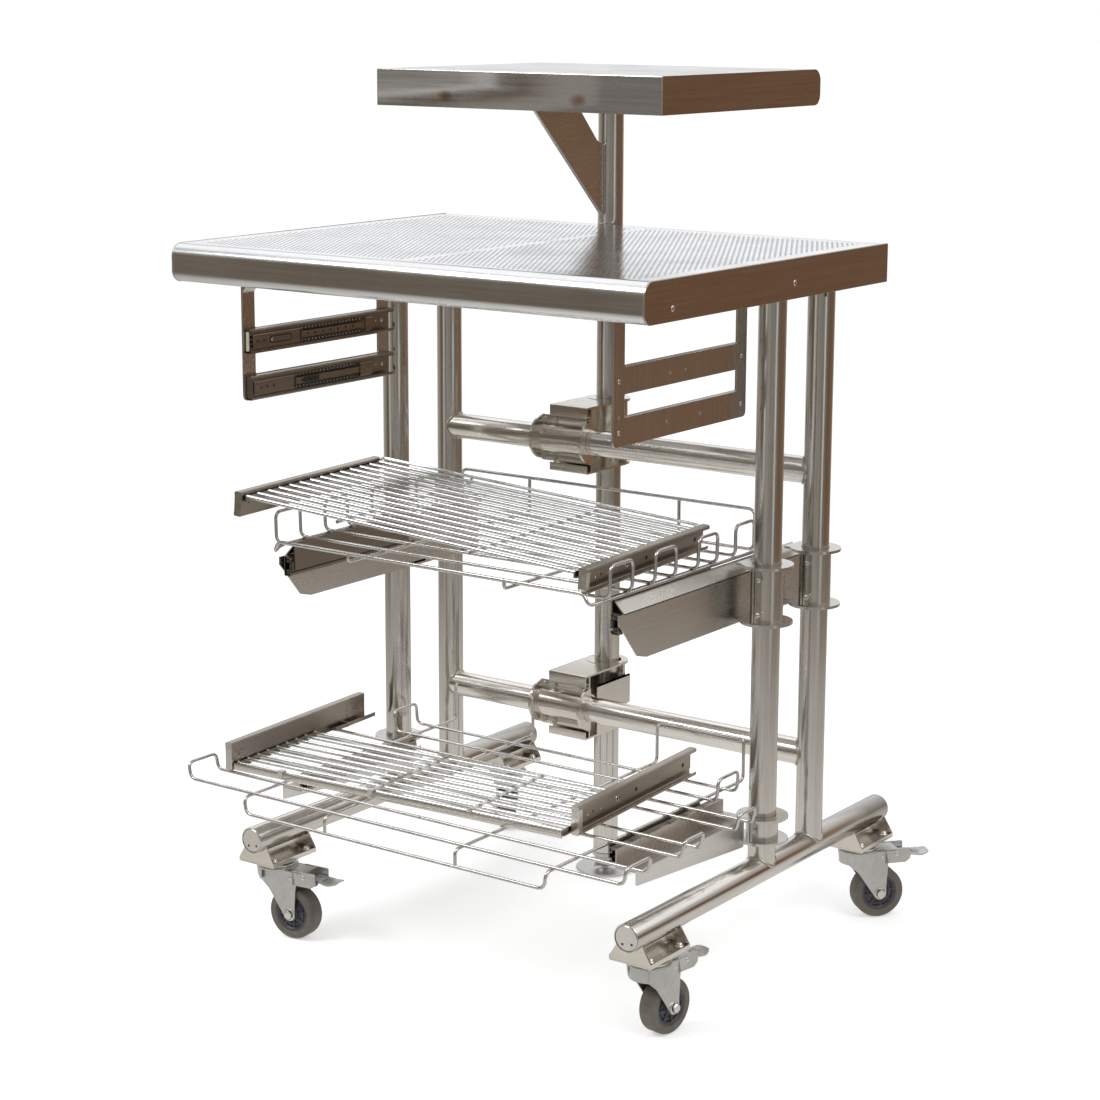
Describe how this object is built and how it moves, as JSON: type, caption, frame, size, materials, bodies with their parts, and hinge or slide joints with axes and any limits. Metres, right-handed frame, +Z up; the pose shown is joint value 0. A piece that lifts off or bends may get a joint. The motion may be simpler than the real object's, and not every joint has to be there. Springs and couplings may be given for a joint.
{
  "type": "instrument cart",
  "caption": "Open tube-frame clinic cart on braked castors with a worktop, swivelling overshelf on a column, hanging drawer slides and pull-out wire baskets with racks.",
  "frame": {"origin": "centre of the footprint on the floor: midway between the two side frames, level with the front posts", "axes": "+X to the user's right when facing the rolled front edge, +Y to the back, +Z up"},
  "size_m": [0.832, 0.8764, 1.288],
  "materials": {
    "tube_steel": "polished stainless tube with fine lengthways lines",
    "sheet_steel": "satin stainless sheet, lightly scuffed",
    "wire_steel": "bright drawn wire",
    "slide_steel": "dull zinc-plated slide channel",
    "zinc_steel": "zinc-plated pressed steel",
    "tread_rubber": "worn grey-brown elastomer tread on a dark core"
  },
  "bodies": {
    "frame": {"side_frame_left": "tube_steel", "side_frame_right": "tube_steel", "cross_tube_lower": "tube_steel", "cross_tube_upper": "tube_steel", "worktop_panel": "sheet_steel", "worktop_end_plate_left": "sheet_steel", "worktop_end_plate_right": "sheet_steel", "hanger_frame_left": "sheet_steel", "hanger_frame_right": "sheet_steel", "upper_clamp_front_shell": "sheet_steel", "upper_clamp_body": "sheet_steel", "upper_clamp_rear_shell": "sheet_steel", "lower_clamp_front_shell": "sheet_steel", "lower_clamp_body": "sheet_steel", "lower_clamp_rear_shell": "sheet_steel", "castor_saddle_front_left": "sheet_steel", "castor_saddle_front_right": "sheet_steel", "castor_saddle_rear_left": "sheet_steel", "castor_saddle_rear_right": "sheet_steel"},
    "column_lift_body": {"column_foot": "zinc_steel"},
    "overshelf_column": {"column": "tube_steel", "overshelf": "sheet_steel"},
    "hanger_slide_upper_left_member": {"hanger_slide_upper_left": "slide_steel"},
    "hanger_slide_lower_left_member": {"hanger_slide_lower_left": "slide_steel"},
    "hanger_slide_upper_right_member": {"hanger_slide_upper_right": "slide_steel"},
    "hanger_slide_lower_right_member": {"hanger_slide_lower_right": "slide_steel"},
    "mid_arms": {"mid_arm_left": "sheet_steel", "mid_arm_right": "sheet_steel", "mid_slide_fixed_left": "slide_steel", "mid_slide_fixed_right": "slide_steel", "mid_clamp_shell_front_left": "sheet_steel", "mid_clamp_shell_front_right": "sheet_steel", "mid_clamp_shell_rear_left": "sheet_steel", "mid_clamp_shell_rear_right": "sheet_steel"},
    "mid_carriage": {"mid_slide_moving_left": "slide_steel", "mid_slide_moving_right": "slide_steel", "mid_basket": "wire_steel"},
    "mid_rack_body": {"mid_rack": "wire_steel"},
    "bottom_arms": {"bottom_arm_left": "sheet_steel", "bottom_arm_right": "sheet_steel", "bottom_slide_fixed_left": "slide_steel", "bottom_slide_fixed_right": "slide_steel", "bottom_clamp_shell_left": "sheet_steel", "bottom_clamp_shell_right": "sheet_steel"},
    "bottom_carriage": {"bottom_slide_moving_left": "slide_steel", "bottom_slide_moving_right": "slide_steel", "bottom_basket": "wire_steel"},
    "bottom_rack_body": {"bottom_rack": "wire_steel"},
    "castor_fork_front_left_body": {"castor_fork_front_left": "zinc_steel"},
    "castor_wheel_front_left_body": {"castor_wheel_front_left": "tread_rubber"},
    "castor_pedal_front_left_body": {"castor_pedal_front_left": "zinc_steel"},
    "castor_fork_front_right_body": {"castor_fork_front_right": "zinc_steel"},
    "castor_wheel_front_right_body": {"castor_wheel_front_right": "tread_rubber"},
    "castor_pedal_front_right_body": {"castor_pedal_front_right": "zinc_steel"},
    "castor_fork_rear_left_body": {"castor_fork_rear_left": "zinc_steel"},
    "castor_wheel_rear_left_body": {"castor_wheel_rear_left": "tread_rubber"},
    "castor_pedal_rear_left_body": {"castor_pedal_rear_left": "zinc_steel"},
    "castor_fork_rear_right_body": {"castor_fork_rear_right": "zinc_steel"},
    "castor_wheel_rear_right_body": {"castor_wheel_rear_right": "tread_rubber"},
    "castor_pedal_rear_right_body": {"castor_pedal_rear_right": "zinc_steel"}
  },
  "joints": [
    {"name": "column_height", "type": "slide", "parent": "frame", "child": "column_lift_body", "axis": [0, 0, 1], "range_m": [0, 0.15]},
    {"name": "column_swivel", "type": "hinge", "parent": "column_lift_body", "child": "overshelf_column", "pos_m": [-0.098, 0.235, 1.2], "axis": [0, 0, 1], "range_deg": [-90, 180]},
    {"name": "hanger_slide_upper_left_travel", "type": "slide", "parent": "frame", "child": "hanger_slide_upper_left_member", "axis": [0, -1, 0], "range_m": [0, 0.15]},
    {"name": "hanger_slide_lower_left_travel", "type": "slide", "parent": "frame", "child": "hanger_slide_lower_left_member", "axis": [0, -1, 0], "range_m": [0, 0.15]},
    {"name": "hanger_slide_upper_right_travel", "type": "slide", "parent": "frame", "child": "hanger_slide_upper_right_member", "axis": [0, -1, 0], "range_m": [0, 0.15]},
    {"name": "hanger_slide_lower_right_travel", "type": "slide", "parent": "frame", "child": "hanger_slide_lower_right_member", "axis": [0, -1, 0], "range_m": [0, 0.15]},
    {"name": "mid_arms_height", "type": "slide", "parent": "frame", "child": "mid_arms", "axis": [0, 0, 1], "range_m": [-0.04, 0.05]},
    {"name": "mid_basket_slide", "type": "slide", "parent": "mid_arms", "child": "mid_carriage", "axis": [0, -1, 0], "range_m": [0, 0.25]},
    {"name": "mid_rack_lift", "type": "slide", "parent": "mid_carriage", "child": "mid_rack_body", "axis": [0, 0, 1], "range_m": [0, 0.05]},
    {"name": "bottom_arms_height", "type": "slide", "parent": "frame", "child": "bottom_arms", "axis": [0, 0, 1], "range_m": [-0.015, 0.03]},
    {"name": "bottom_basket_slide", "type": "slide", "parent": "bottom_arms", "child": "bottom_carriage", "axis": [0, -1, 0], "range_m": [0, 0.2]},
    {"name": "bottom_rack_lift", "type": "slide", "parent": "bottom_carriage", "child": "bottom_rack_body", "axis": [0, 0, 1], "range_m": [0, 0.05]},
    {"name": "castor_swivel_front_left", "type": "hinge", "parent": "frame", "child": "castor_fork_front_left_body", "pos_m": [-0.3372, -0.29, 0.113], "axis": [0, 0, 1], "continuous": true},
    {"name": "castor_spin_front_left", "type": "hinge", "parent": "castor_fork_front_left_body", "child": "castor_wheel_front_left_body", "pos_m": [-0.30538, -0.28665, 0.04], "axis": [-0.1045, 0.9945, 0], "continuous": true},
    {"name": "castor_brake_front_left", "type": "hinge", "parent": "castor_fork_front_left_body", "child": "castor_pedal_front_left_body", "pos_m": [-0.27156, -0.2831, 0.095], "axis": [-0.1045, 0.9945, 0], "range_deg": [-8, 10]},
    {"name": "castor_swivel_front_right", "type": "hinge", "parent": "frame", "child": "castor_fork_front_right_body", "pos_m": [0.3372, -0.29, 0.113], "axis": [0, 0, 1], "continuous": true},
    {"name": "castor_spin_front_right", "type": "hinge", "parent": "castor_fork_front_right_body", "child": "castor_wheel_front_right_body", "pos_m": [0.34165, -0.25831, 0.04], "axis": [-0.9903, 0.1392, 0], "continuous": true},
    {"name": "castor_brake_front_right", "type": "hinge", "parent": "castor_fork_front_right_body", "child": "castor_pedal_front_right_body", "pos_m": [0.34638, -0.22464, 0.095], "axis": [-0.9903, 0.1392, 0], "range_deg": [-8, 10]},
    {"name": "castor_swivel_rear_left", "type": "hinge", "parent": "frame", "child": "castor_fork_rear_left_body", "pos_m": [-0.3372, 0.2895, 0.113], "axis": [0, 0, 1], "continuous": true},
    {"name": "castor_spin_rear_left", "type": "hinge", "parent": "castor_fork_rear_left_body", "child": "castor_wheel_rear_left_body", "pos_m": [-0.35777, 0.31401, 0.04], "axis": [-0.766, -0.6428, 0], "continuous": true},
    {"name": "castor_brake_rear_left", "type": "hinge", "parent": "castor_fork_rear_left_body", "child": "castor_pedal_rear_left_body", "pos_m": [-0.37962, 0.34006, 0.095], "axis": [-0.766, -0.6428, 0], "range_deg": [-8, 10]},
    {"name": "castor_swivel_rear_right", "type": "hinge", "parent": "frame", "child": "castor_fork_rear_right_body", "pos_m": [0.3372, 0.2895, 0.113], "axis": [0, 0, 1], "continuous": true},
    {"name": "castor_spin_rear_right", "type": "hinge", "parent": "castor_fork_rear_right_body", "child": "castor_wheel_rear_right_body", "pos_m": [0.35777, 0.31401, 0.04], "axis": [-0.766, 0.6428, 0], "continuous": true},
    {"name": "castor_brake_rear_right", "type": "hinge", "parent": "castor_fork_rear_right_body", "child": "castor_pedal_rear_right_body", "pos_m": [0.37962, 0.34006, 0.095], "axis": [-0.766, 0.6428, 0], "range_deg": [-8, 10]}
  ]
}
